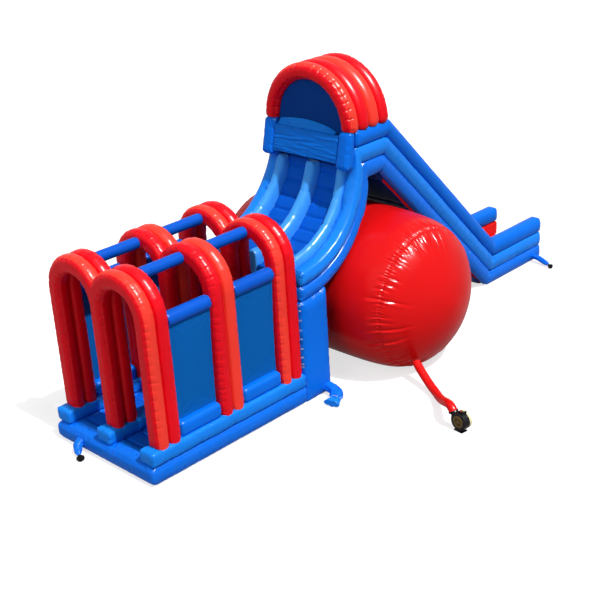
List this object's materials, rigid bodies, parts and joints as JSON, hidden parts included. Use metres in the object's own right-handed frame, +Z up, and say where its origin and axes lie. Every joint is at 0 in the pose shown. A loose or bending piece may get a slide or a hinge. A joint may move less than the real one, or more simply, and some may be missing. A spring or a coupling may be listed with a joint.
{
  "type": "inflatable slide",
  "caption": "Inflatable assault course with an arched tunnel, a curved climbing wall, a canopied platform and a straight slide, propped by an air drum and fed by a blower.",
  "frame": {"origin": "middle of the underside of the tunnel mattress, on the ground", "axes": "+X along the course from the tunnel entrance to the end of the slide, +Y to the far side, away from the blower, +Z up"},
  "size_m": [15.2791, 8.6432, 7.0653],
  "materials": {
    "vinyl_blue": "glossy coated fabric",
    "vinyl_sky": "glossy coated fabric",
    "vinyl_deep": "coated fabric of the lanes",
    "vinyl_navy": "satin coated fabric",
    "panel_blue": "matte woven sheet",
    "vinyl_red": "glossy coated fabric",
    "vinyl_crimson": "glossy coated fabric",
    "vinyl_coral": "glossy coated fabric",
    "blower_black": "moulded, satin",
    "blower_gold": "yellow passivated wire",
    "motor_grey": "painted",
    "rocker_red": "moulded, gloss"
  },
  "bodies": {
    "course": {"arch_1_front": "vinyl_coral", "arch_1_rear": "vinyl_crimson", "arch_2_front": "vinyl_crimson", "arch_2_rear": "vinyl_coral", "arch_3_front": "vinyl_coral", "arch_3_rear": "vinyl_crimson", "banner": "vinyl_blue", "base_roll": "vinyl_blue", "block_sleeve": "vinyl_blue", "blower_housing": "blower_black", "blower_motor": "motor_grey", "bolster_far_1": "vinyl_blue", "bolster_far_2": "vinyl_blue", "bolster_near_1": "vinyl_blue", "bolster_near_2": "vinyl_blue", "canopy_back_panel": "vinyl_navy", "canopy_tube_1": "vinyl_coral", "canopy_tube_2": "vinyl_crimson", "canopy_tube_3": "vinyl_coral", "canopy_tube_4": "vinyl_crimson", "climb_block": "vinyl_blue", "climb_lane_far": "vinyl_deep", "climb_lane_near": "vinyl_deep", "crown_tube_far_1": "vinyl_blue", "crown_tube_far_2": "vinyl_blue", "crown_tube_near_1": "vinyl_blue", "crown_tube_near_2": "vinyl_blue", "drum": "vinyl_red", "drum_duct": "vinyl_red", "entrance_sleeve": "vinyl_blue", "inlet_guard": "blower_gold", "kerb_far": "vinyl_sky", "kerb_middle": "vinyl_sky", "kerb_near": "vinyl_sky", "lane_divider": "vinyl_sky", "lane_mattress": "vinyl_deep", "lane_side_tube_far": "vinyl_sky", "lane_side_tube_near": "vinyl_sky", "runout_sleeve": "vinyl_blue", "shoulder_tube_far_1": "vinyl_blue", "shoulder_tube_far_2": "vinyl_blue", "shoulder_tube_near_1": "vinyl_blue", "shoulder_tube_near_2": "vinyl_blue", "side_panel_far_1": "panel_blue", "side_panel_far_2": "panel_blue", "side_panel_near_1": "panel_blue", "side_panel_near_2": "panel_blue", "slide_bed": "vinyl_red", "slide_side_tube_far": "vinyl_red", "slide_side_tube_near": "vinyl_red", "tower_post_far": "vinyl_blue", "tower_post_near": "vinyl_blue", "wall_lower_far": "vinyl_blue", "wall_lower_near": "vinyl_blue", "wall_rail_far": "vinyl_sky", "wall_rail_near": "vinyl_sky", "wall_upper_far": "vinyl_blue", "wall_upper_near": "vinyl_blue"},
    "impeller": {"blower_impeller": "motor_grey"},
    "rocker": {"switch_rocker": "rocker_red"}
  },
  "joints": [
    {"name": "impeller_spin", "type": "hinge", "parent": "course", "child": "impeller", "pos_m": [3.18022, -5.03, 0.235], "axis": [0.9925, -0.1219, 0], "continuous": true},
    {"name": "rocker_tip", "type": "hinge", "parent": "course", "child": "rocker", "pos_m": [3.17778, -5.04985, 0.467], "axis": [0.9925, -0.1219, 0], "range_deg": [-8, 8]}
  ]
}
